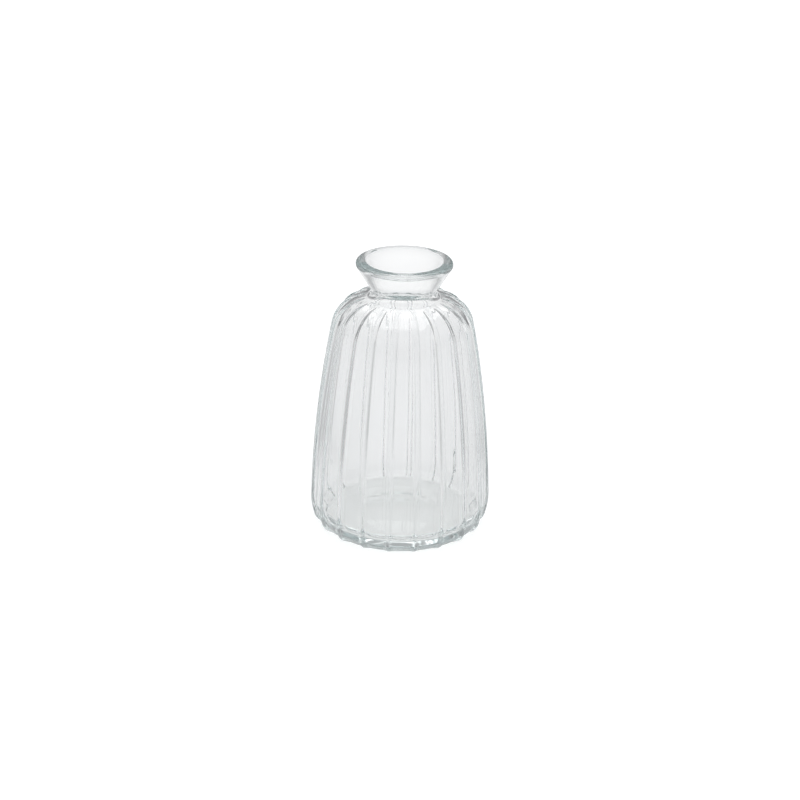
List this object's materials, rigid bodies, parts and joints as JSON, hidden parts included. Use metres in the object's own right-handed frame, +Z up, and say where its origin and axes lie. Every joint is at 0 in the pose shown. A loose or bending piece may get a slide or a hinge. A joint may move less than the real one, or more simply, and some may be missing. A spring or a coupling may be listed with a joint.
{
  "type": "bottle vase",
  "caption": "Ribbed clear glass bottle vase with a rounded heel, a round shoulder, a short waisted neck and a funnel mouth with a thick flat lip, for a few flower stems.",
  "frame": {"origin": "centre of the foot ring on the plane that the vase stands on", "axes": "+Z up along the vase's axis, through the mouth; +X through the middle of a rib"},
  "size_m": [0.076, 0.076, 0.116],
  "materials": {
    "clear_glass": "glossy fire-polished moulded glass, colourless with a faint green tint in thick places"
  },
  "bodies": {
    "root": {"glass_vase": "clear_glass"}
  },
  "joints": []
}
